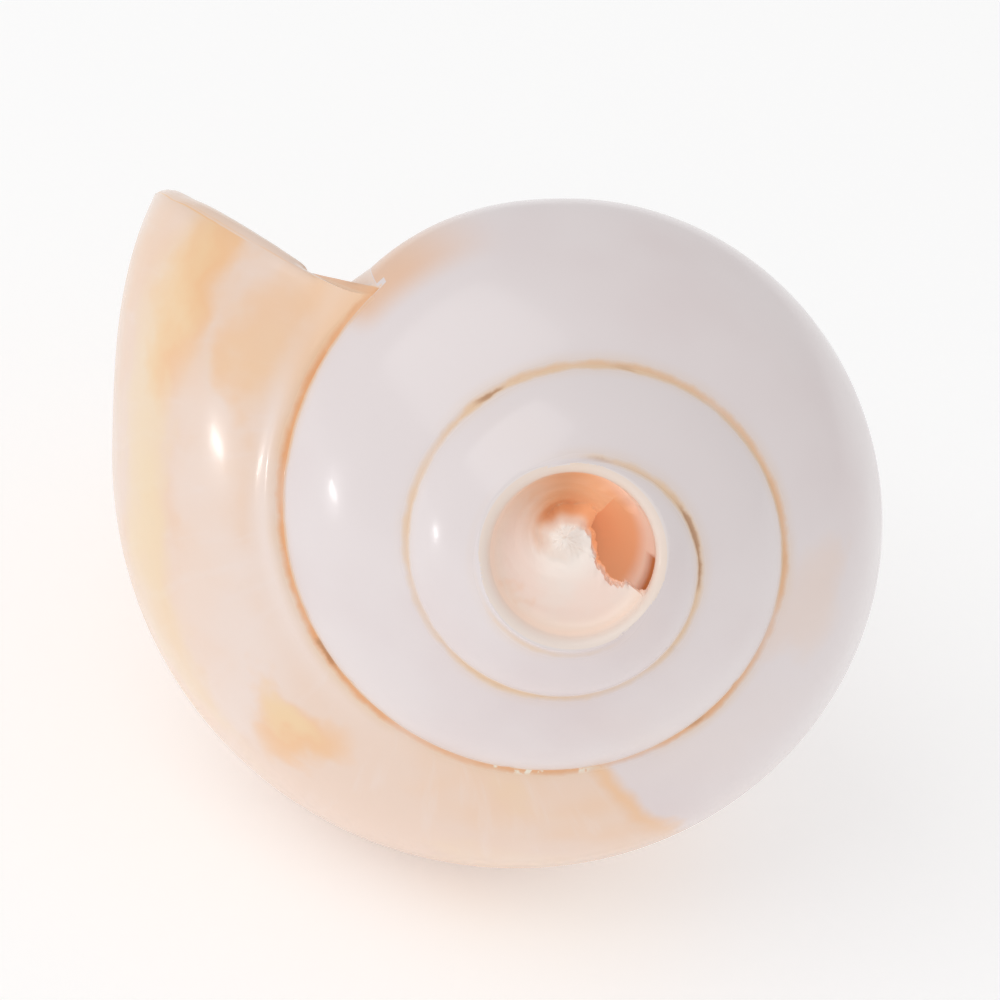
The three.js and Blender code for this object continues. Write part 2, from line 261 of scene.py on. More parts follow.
@dataclass(frozen=True)
class SurfaceWear:
    """Relief of the polished outside: seam groove, welt below the last seam, chips and crumbs."""

    groove_depth: float = 0.1
    groove_width: float = 0.3
    groove_start: tuple[float, float] = (7.9, 9.4)
    welt_height: float = 0.34
    welt_place: float = 1.2
    welt_width: float = 0.75
    welt_growth: tuple[float, float] = (-120.0, -45.0)
    welt_fade: tuple[float, float] = (-24.0, -4.0)
    chip_depth: float = 0.2
    chip_reach: float = 0.55
    chips_per_turn: float = 19.0
    seed: int = 5

    def inset(self, angle: Array, distance: Array, scale: Array) -> Array:
        """How far the polished outside lies below the smooth section.

        Args:
            angle: Growth angles.
            distance: Distances from the nearest seam in millimetres.
            scale: Seam radii in millimetres.

        Returns:
            Depths in millimetres, negative where the surface is raised.
        """
        turns = angle / 360.0
        uneven = 1.0 + 0.35 * ripple(turns, self.seed, waves=9, slowest=6.0)
        groove = self.groove_depth * uneven * np.exp(-(distance / self.groove_width) ** 2)
        pick = smoothstep(ripple(turns, self.seed + 1, waves=6, slowest=self.chips_per_turn), 0.75, 1.3)
        chip = self.chip_depth * pick * np.exp(-(distance / self.chip_reach) ** 2)
        welt = self.welt_height * np.exp(-((distance - self.welt_place) / self.welt_width) ** 2)
        swell = smoothstep(angle, *self.welt_growth) * (1.0 - smoothstep(angle, *self.welt_fade))
        return (groove + chip) * smoothstep(scale, *self.groove_start) - welt * swell


@dataclass
class MeshSheets:
    """A closed mesh in the making, with the values that its finish reads."""

    points: list[Array] = field(default_factory=list)
    faces: list[Array] = field(default_factory=list)
    values: dict[Layer, list[Array]] = field(default_factory=dict)
    count: int = 0

    def add(self, points: Array, **values: Array | float) -> Array:
        """Add points.

        Args:
            points: Points with a last axis of three.
            values: Value of each layer by its lower-case name, zero where left out.

        Returns:
            The numbers of the points, in the shape of the points.
        """
        shape = points.shape[:-1]
        total = int(np.prod(shape))
        self.points.append(points.reshape(-1, 3))
        for layer in (Layer.AGE, Layer.STATION, Layer.SEAM, Layer.INSIDE, Layer.CUT):
            given = np.broadcast_to(values.get(layer.name.lower(), 0.0), shape)
            self.values.setdefault(layer, []).append(np.asarray(given, float).reshape(-1))
        numbers = np.arange(self.count, self.count + total).reshape(shape)
        self.count += total
        return numbers

    def band(self, first: Array, second: Array) -> None:
        """Join two strings of points of equal length, the second on the left of the first."""
        a, b, c, d = first[:-1], first[1:], second[1:], second[:-1]
        self.faces.append(np.concatenate([np.stack([a, b, d], -1), np.stack([b, c, d], -1)]))

    def fan(self, loop: Array, centre: int) -> None:
        """Close a loop with triangles to one point."""
        self.faces.append(np.stack([loop[:-1], loop[1:], np.full(len(loop) - 1, centre)], -1))

    def all_points(self) -> Array:
        """Every point, in order."""
        return np.concatenate(self.points)

    def layer(self, layer: Layer) -> Array:
        """Every value of a layer, in order."""
        return np.concatenate(self.values[layer])

    def to_object(self, name: str) -> bpy.types.Object:
        """Make a linked object, without triangles that have a point twice.

        Args:
            name: Name of the object and its mesh.

        Returns:
            The new object.
        """
        faces = np.concatenate(self.faces)
        whole = (faces[:, 0] != faces[:, 1]) & (faces[:, 1] != faces[:, 2]) & (faces[:, 2] != faces[:, 0])
        mesh = bpy.data.meshes.new(name)
        mesh.from_pydata((self.all_points() * MILLIMETRE).tolist(), [], faces[whole].tolist())
        mesh.update()
        piece = bpy.data.objects.new(name, mesh)
        bpy.context.scene.collection.objects.link(piece)
        return piece


@dataclass
class OuterSheet:
    """The polished outside, from the first turn to the lip."""

    section: WhorlSection
    wear: SurfaceWear
    turns: float = 3.5
    steps_per_turn: int = 200
    steps: tuple[int, int, int, int] = (36, 38, 18, 9)
    columns: list[Array] = field(default_factory=list)
    stations: Array = field(default_factory=lambda: np.zeros(0))

    def __post_init__(self) -> None:
        """Lay out the rows, close together beside the seams."""
        rows = [np.zeros(1)]
        for curve, steps in enumerate(self.steps):
            share = np.arange(1, steps + 1) / steps
            if curve == 0:
                share = lerp(share, 0.5 - 0.5 * np.cos(math.pi * share), 0.8)
            rows.append(curve + share)
        self.stations = np.concatenate(rows)

    @property
    def lip(self) -> int:
        """Number of the last column."""
        return round(self.turns * self.steps_per_turn)

    @property
    def mouth(self) -> int:
        """Number of the column one turn before the lip."""
        return self.lip - self.steps_per_turn

    @property
    def shoulder_row(self) -> int:
        """Row at the foot of the shoulder."""
        return self.steps[0]

    def surface(self, angle: float, stations: Array) -> tuple[Array, dict[str, Array]]:
        """One column of the outside.

        Args:
            angle: Growth angle of the column.
            stations: Stations of its rows.

        Returns:
            The points and the values of their layers.
        """
        law = self.section.law
        lag = law.lag(stations)
        sheared = law.shear(np.full_like(stations, angle), lag)
        smooth = self.section.point(sheared, stations)
        scale = law.scale(sheared)
        run = np.concatenate([[0.0], np.cumsum(np.abs(np.diff(smooth)))]) * scale
        distance = run
        if angle <= -360.0:
            distance = np.minimum(run, run[-1] - run)
        inset = self.wear.inset(sheared, distance, scale) * np.minimum(1.0, scale / law.seam_radius + 0.35)
        worn = smooth + self.section.inward(sheared, stations) * inset / scale
        on_axis = stations > 3.9
        worn = np.where(on_axis, smooth, worn)
        values = {"age": (sheared + lag) / 360.0, "station": stations, "seam": distance}
        return law.place(sheared, worn), values

    def build(self, sheets: MeshSheets) -> None:
        """Add the outside to a mesh."""
        last_row = len(self.stations) - 1
        self.columns = [np.zeros(0, int)] * (self.lip + 1)
        for column in range(self.lip, -1, -1):
            angle = (column - self.lip) * 360.0 / self.steps_per_turn
            spire = column < self.mouth
            rows = self.shoulder_row + 1 if spire else last_row + 1
            points, values = self.surface(angle, self.stations[:rows])
            if column > self.mouth:
                self.columns[column] = sheets.add(points, **values)
                continue
            keep = np.arange(rows) != self.shoulder_row
            numbers = np.zeros(rows, int)
            numbers[keep] = sheets.add(points[keep], **{key: value[keep] for key, value in values.items()})
            numbers[self.shoulder_row] = self.columns[column + self.steps_per_turn][0]
            self.columns[column] = numbers
        for older, younger in zip(self.columns[:-1], self.columns[1:]):
            rows = min(len(older), len(younger))
            sheets.band(younger[:rows], older[:rows])
        tip = int(sheets.add(np.zeros((1, 3)))[0])
        first_turn = np.array([column[0] for column in self.columns[:self.steps_per_turn + 1]])
        sheets.fan(first_turn[::-1], tip)
        sheets.fan(self.columns[0][:self.shoulder_row + 1], tip)


@dataclass
class HollowSheet:
    """The hollow inside, from the young turns to the mouth, with the pillar and its folds."""

    section: WhorlSection
    steps_per_turn: int = 100
    start: float = -1000.0
    top: float = 0.24
    end: float = 2.85
    outer_steps: int = 36
    canal_steps: int = 10
    fold_steps: int = 30
    seam_steps: int = 14
    wall_base: float = 0.9
    wall_growth: float = 2.6
    lip_thinning: float = 0.45
    thinning_change: tuple[float, float] = (-40.0, 0.0)
    callus: float = 0.035
    pillar_tip: float = 0.13
    pillar_swell: float = 0.26
    fold_top: float = -2.2
    fold_pitch: float = 0.27
    fold_count: int = 3
    fold_height: float = 0.05
    seam_lag_span: tuple[float, float] = (0.5, 1.0)

    @property
    def fold_end(self) -> float:
        """Depth of the lowest fold's foot."""
        return self.fold_top - self.fold_pitch * self.fold_count

    def wall(self, angle: Array) -> Array:
        """Wall thickness in units of the seam radius."""
        scale = self.section.law.scale(angle)
        thickness = self.wall_base + self.wall_growth * scale / self.section.law.seam_radius
        return thickness * (1.0 - self.lip_thinning * smoothstep(angle, *self.thinning_change)) / scale

    def inset(self, angle: Array, station: Array | float) -> Array:
        """Section points moved inward by the wall."""
        station = np.broadcast_to(np.asarray(station, float), np.shape(angle))
        return self.section.point(angle, station) + self.section.inward(angle, station) * self.wall(angle)

    def turn_before(self, depth: Array) -> Array:
        """Radius of the turn before, at depths in units of the present turn."""
        growth = self.section.law.turn_growth
        profile = self.section.point(-360.0, np.linspace(1.0, 4.0, 1200)) / growth
        found = np.interp(-depth, -profile.imag, profile.real)
        return np.where(depth < profile.imag.min(), 0.0, found)

    def pillar(self, depth: Array) -> Array:
        """Radius of the pillar's side of the hollow, with its spiral folds."""
        in_folds = (depth < self.fold_top) & (depth > self.fold_end)
        wave = 0.5 - 0.5 * np.cos((self.fold_top - depth) / self.fold_pitch * 2.0 * math.pi)
        swell = smoothstep(depth, -self.section.canal_depth, self.fold_top)
        stem = self.pillar_tip + self.pillar_swell * swell
        return np.maximum(stem + np.where(in_folds, self.fold_height * wave, 0.0),
                          self.turn_before(depth) + self.callus)

    def ring(self, angle: float) -> tuple[Array, Array]:
        """One loop of the hollow: down the outer wall, then up the pillar.

        Args:
            angle: Growth angle of the loop.

        Returns:
            The points and their ages.
        """
        law = self.section.law
        stations = np.linspace(self.top, self.end, self.outer_steps + 1)
        wall_lag = law.lag(stations)
        wall_sheared = law.shear(np.full_like(stations, angle), wall_lag)
        canal = np.arange(self.canal_steps) / self.canal_steps
        folds = np.arange(self.fold_steps + 1) / self.fold_steps
        seam = np.arange(1, self.seam_steps + 1) / self.seam_steps
        lag = np.concatenate([law.lag(self.end) * (1.0 - canal), np.zeros_like(folds),
                              law.lag(self.top) * smoothstep(seam, *self.seam_lag_span)])
        sheared = law.shear(np.full_like(lag, angle), lag)
        low = self.inset(sheared, self.end).imag
        high = self.inset(sheared, self.top).imag
        first, second = self.canal_steps, self.canal_steps + len(folds)
        depth = np.concatenate([
            lerp(low[:first], self.fold_end, canal),
            lerp(self.fold_end, self.fold_top, folds),
            lerp(self.fold_top, high[second:], seam)])
        outer = law.place(wall_sheared, self.inset(wall_sheared, stations))
        inner = law.place(sheared, self.pillar(depth) + 1j * depth)
        ages = np.concatenate([wall_sheared + wall_lag, sheared + lag]) / 360.0
        return np.concatenate([outer, inner]), ages

    def build(self, sheets: MeshSheets) -> Array:
        """Add the hollow to a mesh.

        Args:
            sheets: The mesh in the making.

        Returns:
            The closed loop of point numbers at the mouth.
        """
        count = round(-self.start * self.steps_per_turn / 360.0)
        previous = None
        for step in range(count, -1, -1):
            points, ages = self.ring(-step * 360.0 / self.steps_per_turn)
            ring = sheets.add(points, age=ages, seam=9.0, inside=1.0)
            ring = np.append(ring, ring[0])
            if previous is None:
                middle = int(sheets.add(points.mean(axis=0)[None], inside=1.0, seam=9.0)[0])
                sheets.fan(ring[::-1], middle)
            else:
                sheets.band(previous, ring)
            previous = ring
        return previous


@dataclass
class MouthEdge:
    """The rounded edge of the lip, canal and pillar, between the outside and the hollow."""

    outer: OuterSheet
    rings: int = 7
    bulge: float = 1.6
    lip_rounding: tuple[float, float] = (0.0, 0.8)
    axis_rounding: tuple[float, float] = (0.3, 0.8)

    def loop(self) -> tuple[Array, Array]:
        """Point numbers and roundness down the lip, along the axis and up the turn before."""
        columns, outer = self.outer.columns, self.outer
        lip = columns[outer.lip]
        axis = np.array([column[-1] for column in columns[outer.mouth:outer.lip]])[::-1]
        wall = columns[outer.mouth][outer.shoulder_row:-1][::-1]
        lip_round = smoothstep(outer.stations, *self.lip_rounding)
        axis_round = 1.0 - smoothstep(np.arange(len(axis)) / len(axis), *self.axis_rounding)
        return (np.concatenate([lip, axis, wall]),
                np.concatenate([lip_round, axis_round, np.zeros(len(wall))]))

    @staticmethod
    def shares(points: Array, top: float, bottom: float) -> Array:
        """Share of the way around by height: half on the way down, half on the way up."""
        drop = (top - points[:, 2]) / (top - bottom) / 2.0
        before = np.arange(len(points)) <= int(np.argmin(points[:, 2]))
        return np.where(before, drop, 1.0 - drop)

    def build(self, sheets: MeshSheets, hollow_edge: Array) -> None:
        """Add the edge to a mesh.

        Args:
            sheets: The mesh in the making.
            hollow_edge: Closed loop of point numbers of the hollow at the mouth.
        """
        numbers, roundness = self.loop()
        points = sheets.all_points()
        seam = sheets.layer(Layer.SEAM)[numbers[:-1]]
        outside, inside = points[numbers], points[hollow_edge]
        top, bottom = outside[:, 2].max(), outside[:, 2].min()
        outer_shares = self.shares(outside, top, bottom)
        inner_shares = self.shares(inside, top, bottom)
        facing = self.facing(inside, inner_shares, outer_shares)
        azimuth = math.radians(self.outer.section.law.lip_azimuth)
        forward = np.array([math.sin(azimuth), -math.cos(azimuth), 0.0])
        reach = np.minimum(np.linalg.norm(outside - facing, axis=1) / 2.0, self.bulge) * roundness
        edge = numbers
        for ring in range(1, self.rings + 1):
            turn = math.pi * ring / (self.rings + 1)
            across = lerp(outside, facing, (1.0 - math.cos(turn)) / 2.0)
            rounded = across + forward * (reach * math.sin(turn))[:, None]
            inward = np.full(len(numbers) - 1, ring / (self.rings + 1))
            line = sheets.add(rounded[:-1], inside=inward, seam=seam)
            line = np.append(line, line[0])
            sheets.band(line, edge)
            edge = line
        self.zip(sheets, edge, outer_shares, hollow_edge, inner_shares)

    @staticmethod
    def facing(points: Array, shares: Array, wanted: Array) -> Array:
        """Points of a loop at wanted shares of the way around it."""
        found = []
        for share in wanted:
            step = 0
            while step + 2 < len(shares) and shares[step + 1] < share:
                step += 1
            gap = shares[step + 1] - shares[step]
            part = 0.0 if gap == 0.0 else min(max((share - shares[step]) / gap, 0.0), 1.0)
            found.append(lerp(points[step], points[step + 1], part))
        return np.array(found)

    @staticmethod
    def zip(sheets: MeshSheets, first: Array, first_shares: Array, second: Array,
            second_shares: Array) -> None:
        """Join two loops of unlike counts by triangles, matched by their shares."""
        triangles = []
        a, b = 0, 0
        while a + 1 < len(first) or b + 1 < len(second):
            next_first = first_shares[a + 1] if a + 1 < len(first) else math.inf
            next_second = second_shares[b + 1] if b + 1 < len(second) else math.inf
            if next_first <= next_second:
                triangles.append((first[a + 1], first[a], second[b]))
                a += 1
            else:
                triangles.append((first[a], second[b], second[b + 1]))
                b += 1
        sheets.faces.append(np.array(triangles))


@dataclass
class BlowHole:
    """The cut tip: a ground rim, a spiral ramp and the broken end of the pillar."""

    centre: tuple[float, float, float] = (-0.3, 1.34, -6.6)
    normal: tuple[float, float, float] = (-0.055, 0.142, 0.988)
    radius: float = 7.0
    rim_width: float = 0.9
    rim_height: float = 0.9
    rim_steps: int = 7
    knob: complex = -0.7 + 1.3j
    knob_radius: float = 1.35
    knob_rise: float = 1.1
    stump_reach: tuple[float, float] = (1.2, 2.7)
    shelf_depth: float = 2.2
    shelf_edge: float = -36.0
    edge_distances: tuple[float, ...] = (0.0, 1.5, 2.15, 2.7, 3.7, 4.9, 6.1, 6.9, 7.5)
    edge_angles: tuple[float, ...] = (60.0, 40.0, 8.0, -28.0, -40.0, -46.0, -40.0, -37.0, -31.0)
    cliff_width: float = 5.0
    ramp_drop: float = 8.5
    ramp_bend: float = 1.8
    wall_taper: float = 0.07
    floor_steps: int = 26
    step: float = 2.5
    foot_round: float = 1.1
    clearance: float = 16.0
    ragged: float = 5.0
    crust: float = 0.3
    seed: int = 21

    def axes(self) -> Matrix:
        """Matrix from the hole's own frame to the coil frame."""
        out = Vector(self.normal).normalized()
        right = (Vector((1.0, 0.0, 0.0)) - out * out.x).normalized()
        up = out.cross(right)
        matrix = Matrix((right, up, out)).transposed().to_4x4()
        matrix.translation = Vector(self.centre)
        return matrix

    def reach(self, across: Array, radius: Array | float) -> Array:
        """Distance from the knob to a circle about the hole's centre."""
        along = (np.conj(self.knob) * across).real
        return np.sqrt(along ** 2 - abs(self.knob) ** 2 + radius ** 2) - along

    def ramp(self, turn: Array) -> Array:
        """Depth of the ramp at a turn clockwise from the shelf's edge."""
        return self.shelf_depth + self.ramp_drop * (np.clip(turn, 0.0, 360.0) / 360.0) ** self.ramp_bend

    def floor(self, turn: Array, distance: Array, share: float) -> Array:
        """Depth of the broken floor.

        Args:
            turn: Turns clockwise from the shelf's edge, in degrees.
            distance: Distances from the knob in millimetres.
            share: Share of the way from the knob to the wall.

        Returns:
            Depths in millimetres, with the ragged cliff and the knob.
        """
        edge = np.interp(distance, self.edge_distances, self.edge_angles) - self.shelf_edge
        jag = self.ragged * ripple(distance, self.seed, waves=6, slowest=0.5)
        moved = np.mod(turn + edge + jag, 360.0)
        rise = smoothstep(moved, 360.0 - self.cliff_width, 360.0)
        ramp = lerp(self.ramp(moved), self.shelf_depth, rise)
        uneven = 1.0 + 0.3 * ripple(turn / 360.0, self.seed + 3, waves=5, slowest=1.0)
        stump = smoothstep(distance / uneven, *self.stump_reach)
        lump = self.knob_rise * np.exp(-(distance / (self.knob_radius * uneven)) ** 2)
        depth = lerp(np.minimum(ramp, self.shelf_depth + 0.2), ramp, stump) - lump
        rough = ripple(turn / 360.0, self.seed + 1, waves=9, slowest=3.0) * ripple(
            distance, self.seed + 2, waves=7, slowest=0.5)
        near_edge = np.exp(-(np.minimum(moved, 360.0 - moved) * np.maximum(distance, 0.3) / 45.0) ** 2)
        broken = np.maximum(np.exp(-(distance / 2.2) ** 2), near_edge)
        return depth - self.crust * broken * rough * (1.0 - share ** 6)

    def cutter(self) -> tuple[MeshSheets, Array]:
        """Solid that is taken away at the tip, in the hole's own frame.

        Returns:
            The closed mesh and the points in the hole's frame.
        """
        sheets = MeshSheets()
        turn = np.arange(0.0, 360.0, self.step)
        across = np.exp(1j * np.radians(self.shelf_edge - turn))
        rings: list[Array] = []

        def ring(distance: Array, height: Array | float) -> None:
            place = self.knob + across * distance
            points = np.stack([place.real, place.imag, np.broadcast_to(height, place.shape)], -1)
            numbers = sheets.add(points, cut=1.0)
            rings.append(np.append(numbers, numbers[0]))

        foot = self.radius - self.wall_taper * self.ramp(turn)
        wall = self.reach(across, foot - self.foot_round)
        for step in range(1, self.floor_steps + 1):
            share = step / self.floor_steps
            ring(wall * share, -self.floor(turn, wall * share, share))
        base = self.floor(turn, wall, 1.0)
        for step in range(1, 5):
            bend = math.pi / 2.0 * step / 4
            swing = self.foot_round * math.sin(bend)
            height = self.foot_round * (1.0 - math.cos(bend)) - base
            ring(self.reach(across, foot - self.foot_round + swing), height)
        lowest = base - self.foot_round
        for step in range(1, 5):
            share = step / 5
            radius = lerp(foot, self.radius, share)
            ring(self.reach(across, radius), -lerp(lowest, self.rim_height, share))
        for step in range(self.rim_steps + 1):
            bend = math.pi / 2.0 * step / self.rim_steps
            radius = self.radius + self.rim_width * (1.0 - math.cos(bend))
            ring(self.reach(across, radius), self.rim_height * (math.sin(bend) - 1.0))
        ring(self.reach(across, self.clearance), 0.0)
        ring(self.reach(across, self.clearance), self.clearance)
        for lower, upper in zip(rings[:-1], rings[1:]):
            sheets.band(upper, lower)
        top = -float(self.floor(np.zeros(1), np.zeros(1), 0.0)[0])
        middle = int(sheets.add(np.array([[self.knob.real, self.knob.imag, top]]), cut=1.0)[0])
        cover = int(sheets.add(np.array([[0.0, 0.0, self.clearance]]), cut=1.0)[0])
        sheets.fan(rings[0], middle)
        sheets.fan(rings[-1][::-1], cover)
        local = sheets.all_points()
        matrix = np.array(self.axes())
        sheets.points = [local @ matrix[:3, :3].T + matrix[:3, 3]]
        return sheets, local


def paint(red: int, green: int, blue: int) -> tuple[float, float, float, float]:
    """Turn screen values of a colour into the linear ones that a shader takes."""
    linear = [((value / 255.0 + 0.055) / 1.055) ** 2.4 for value in (red, green, blue)]
    return (*linear, 1.0)


@dataclass
class Wiring:
    """Short ways to place and join shader nodes in one tree."""

    tree: bpy.types.NodeTree

    def node(self, kind: str, **settings: object) -> bpy.types.Node:
        """Place a node and set its named properties."""
        made = self.tree.nodes.new(kind)
        for name, value in settings.items():
            setattr(made, name, value)
        return made

    def feed(self, socket: Socket, source: object) -> None:
        """Join a socket to another, or set it to a plain value."""
        if isinstance(source, Socket):
            self.tree.links.new(source, socket)
        else:
            socket.default_value = source

    def layer(self, layer: Layer) -> bpy.types.Node:
        """Read a value that the mesh carries."""
        return self.node("ShaderNodeAttribute", attribute_type="GEOMETRY", attribute_name=layer.value)

    def math(self, operation: str, *terms: object) -> Socket:
        """Work out a sum on values.

        Args:
            operation: Name of the sum, such as ADD.
            terms: Sockets or numbers.

        Returns:
            The socket of the result.
        """
        made = self.node("ShaderNodeMath", operation=operation)
        for socket, term in zip(made.inputs, terms):
            self.feed(socket, term)
        return made.outputs[0]

    def times(self, first: object, second: object) -> Socket:
        """Multiply two values."""
        return self.math("MULTIPLY", first, second)

    def plus(self, first: object, second: object) -> Socket:
        """Add two values."""
        return self.math("ADD", first, second)

    def minus(self, first: object, second: object) -> Socket:
        """Take the second value from the first."""
        return self.math("SUBTRACT", first, second)

    def step(self, value: object, low: float, high: float) -> Socket:
        """Ease from 0 where a value is low to 1 where it is high; low may be the larger."""
        made = self.node("ShaderNodeMapRange", interpolation_type="SMOOTHSTEP")
        swapped = low > high
        self.feed(made.inputs["Value"], value)
        made.inputs["From Min"].default_value = min(low, high)
        made.inputs["From Max"].default_value = max(low, high)
        made.inputs["To Min"].default_value = 1.0 if swapped else 0.0
        made.inputs["To Max"].default_value = 0.0 if swapped else 1.0
        return made.outputs["Result"]

    def noise(self, vector: object, scale: float, detail: float = 3.0, rough: float = 0.5) -> Socket:
        """Soft random values from 0 to 1 over a vector."""
        made = self.node("ShaderNodeTexNoise")
        self.feed(made.inputs["Vector"], vector)
        made.inputs["Scale"].default_value = scale
        made.inputs["Detail"].default_value = detail
        made.inputs["Roughness"].default_value = rough
        return made.outputs["Fac"]

    def mix(self, share: object, under: object, over: object) -> Socket:
        """Lay one colour over another by a share."""
        made = self.node("ShaderNodeMix", data_type="RGBA")
        self.feed(made.inputs[0], share)
        self.feed(made.inputs[6], under)
        self.feed(made.inputs[7], over)
        return made.outputs[2]

    def vector(self, x: object, y: object, z: object) -> Socket:
        """Join three values into a vector."""
        made = self.node("ShaderNodeCombineXYZ")
        for socket, term in zip(made.inputs, (x, y, z)):
            self.feed(socket, term)
        return made.outputs[0]


def mottle_group() -> bpy.types.NodeTree:
    """Node group for soft cloudy patches, shared by the shell and the floor.

    Returns:
        The group, with the patches' mask as its output.
    """
    name = "soft_mottle"
    if name in bpy.data.node_groups:
        return bpy.data.node_groups[name]
    tree = bpy.data.node_groups.new(name, "ShaderNodeTree")
    for label, kind, default in (("Vector", "NodeSocketVector", None), ("Scale", "NodeSocketFloat", 60.0),
                                 ("Low", "NodeSocketFloat", 0.4), ("High", "NodeSocketFloat", 0.6)):
        socket = tree.interface.new_socket(label, in_out="INPUT", socket_type=kind)
        if default is not None:
            socket.default_value = default
    tree.interface.new_socket("Mask", in_out="OUTPUT", socket_type="NodeSocketFloat")
    wiring = Wiring(tree)
    start = wiring.node("NodeGroupInput")
    cloud = wiring.node("ShaderNodeTexNoise")
    wiring.feed(cloud.inputs["Vector"], start.outputs["Vector"])
    wiring.feed(cloud.inputs["Scale"], start.outputs["Scale"])
    cloud.inputs["Detail"].default_value = 3.0
    ease = wiring.node("ShaderNodeMapRange", interpolation_type="SMOOTHSTEP")
    wiring.feed(ease.inputs["Value"], cloud.outputs["Fac"])
    wiring.feed(ease.inputs["From Min"], start.outputs["Low"])
    wiring.feed(ease.inputs["From Max"], start.outputs["High"])
    end = wiring.node("NodeGroupOutput")
    wiring.feed(end.inputs["Mask"], ease.outputs["Result"])
    return tree


class Tint(Enum):
    """Colours that a patch on the shell can have."""

    ORANGE = "orange"
    YELLOW = "yellow"
    PALE = "pale"
    PEACH = "peach"


@dataclass(frozen=True)
class Patch:
    """A soft patch of colour, placed by age in turns and by station."""

    tint: Tint
    age: float
    station: float
    age_reach: float
    station_reach: float
    share: float


PATCHES = (
    Patch(Tint.ORANGE, -0.022, 0.62, 0.045, 0.2, 0.85),
    Patch(Tint.YELLOW, -0.075, 0.74, 0.075, 0.22, 0.55),
    Patch(Tint.YELLOW, -0.15, 0.8, 0.07, 0.2, 0.45),
    Patch(Tint.PALE, -0.17, 0.38, 0.05, 0.35, 0.6),
    Patch(Tint.ORANGE, -0.232, 0.36, 0.032, 0.26, 0.8),
    Patch(Tint.YELLOW, -0.222, 0.32, 0.02, 0.12, 0.6),
    Patch(Tint.PALE, -0.09, 0.3, 0.05, 0.2, 0.5),
    Patch(Tint.ORANGE, -0.035, 0.2, 0.04, 0.16, 0.55),
    Patch(Tint.PEACH, -0.575, 0.2, 0.04, 0.3, 0.45),
)


